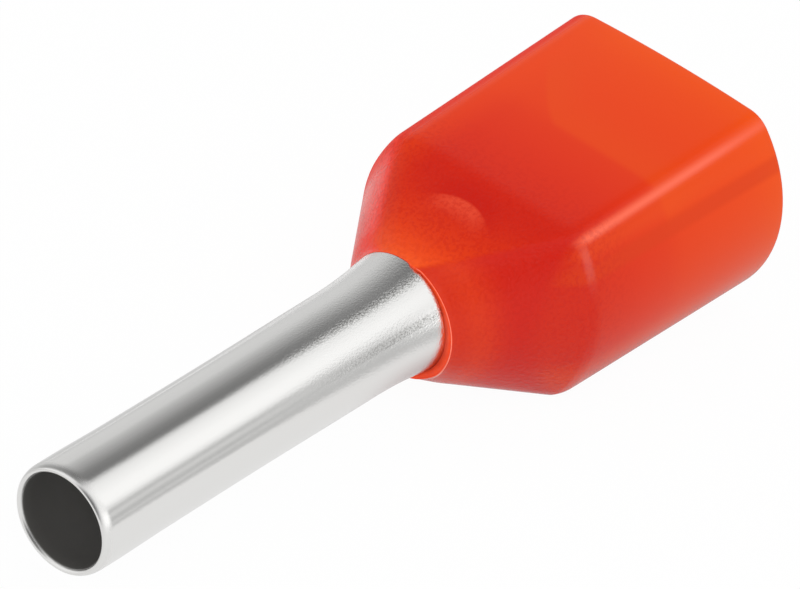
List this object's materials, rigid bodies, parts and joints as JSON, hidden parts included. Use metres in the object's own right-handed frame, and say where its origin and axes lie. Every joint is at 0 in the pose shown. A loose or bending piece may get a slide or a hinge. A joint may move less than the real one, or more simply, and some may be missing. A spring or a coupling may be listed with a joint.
{
  "type": "twin wire ferrule",
  "caption": "Wire end sleeve for stranded wires laid side by side: a thin tinned tube whose flared end sits in a wide, flat plastic collar with sloping shoulders and an open rear pocket.",
  "frame": {"origin": "on the sleeve's axis at the collar's front face, where the bare sleeve leaves the collar", "axes": "+X runs along the sleeve from the collar to the sleeve's mouth, +Y runs across the collar along its width, +Z is square to the collar's flat top"},
  "size_m": [0.0182, 0.0064, 0.0044],
  "materials": {
    "sleeve": "tinned copper, drawn, satin",
    "collar": "moulded, slightly translucent, satin gloss"
  },
  "bodies": {
    "root": {"metal_sleeve": "sleeve", "plastic_collar": "collar"}
  },
  "joints": []
}
